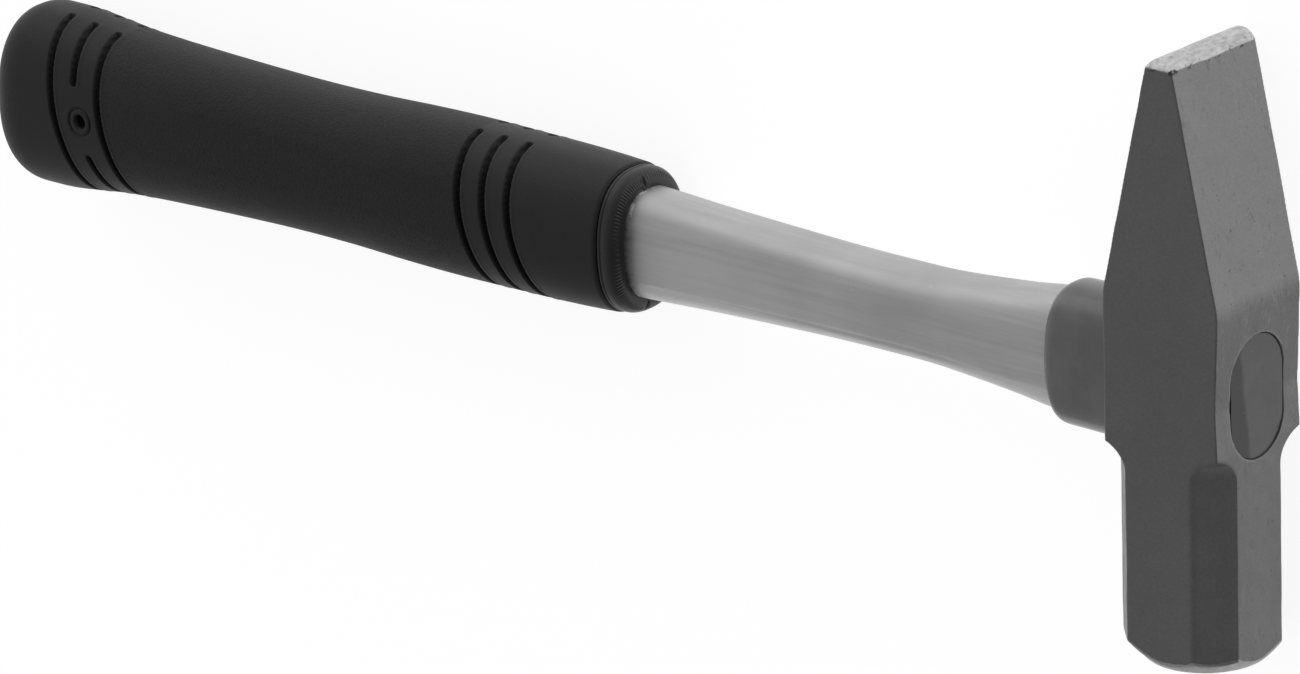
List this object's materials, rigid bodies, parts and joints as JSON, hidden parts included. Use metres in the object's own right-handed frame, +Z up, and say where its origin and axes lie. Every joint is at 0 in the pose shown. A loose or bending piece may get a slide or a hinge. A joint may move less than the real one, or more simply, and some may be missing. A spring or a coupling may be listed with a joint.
{
  "type": "cross peen hammer",
  "caption": "Cross peen engineer's hammer with octagonal poll, wedge peen, waisted oval steel tube handle, plastic ferrule and grooved rubber grip.",
  "frame": {"origin": "on the plane that the hammer's lower cheek rests on, directly below the centre of the eye", "axes": "+X along the handle from the grip to the front of the head; +Y from the striking face to the peen; +Z up, away from the rest plane"},
  "size_m": [0.3154, 0.118, 0.0252],
  "materials": {
    "head_paint": "satin dark grey stoving paint over a forged skin, ground bare at the peen's crest and the striking face",
    "tube_steel": "drawn steel tube, dull silver with soft lengthwise streaks",
    "ferrule_plastic": "glossy dark grey moulded plastic",
    "hardwood": "plain turned hardwood",
    "wedge_steel": "plain pressed steel",
    "cap_plastic": "smooth glossy dark grey",
    "liner_plastic": "black moulded plastic, slightly glossy",
    "grip_rubber": "matt black rubber with a fine leather grain between the groove sets"
  },
  "bodies": {
    "root": {"head": "head_paint", "handle_tube": "tube_steel", "ferrule": "ferrule_plastic", "core_plug": "hardwood", "wedge": "wedge_steel", "eye_cap": "cap_plastic", "grip_liner": "liner_plastic", "grip_cover": "grip_rubber", "butt_plug": "liner_plastic"}
  },
  "joints": []
}
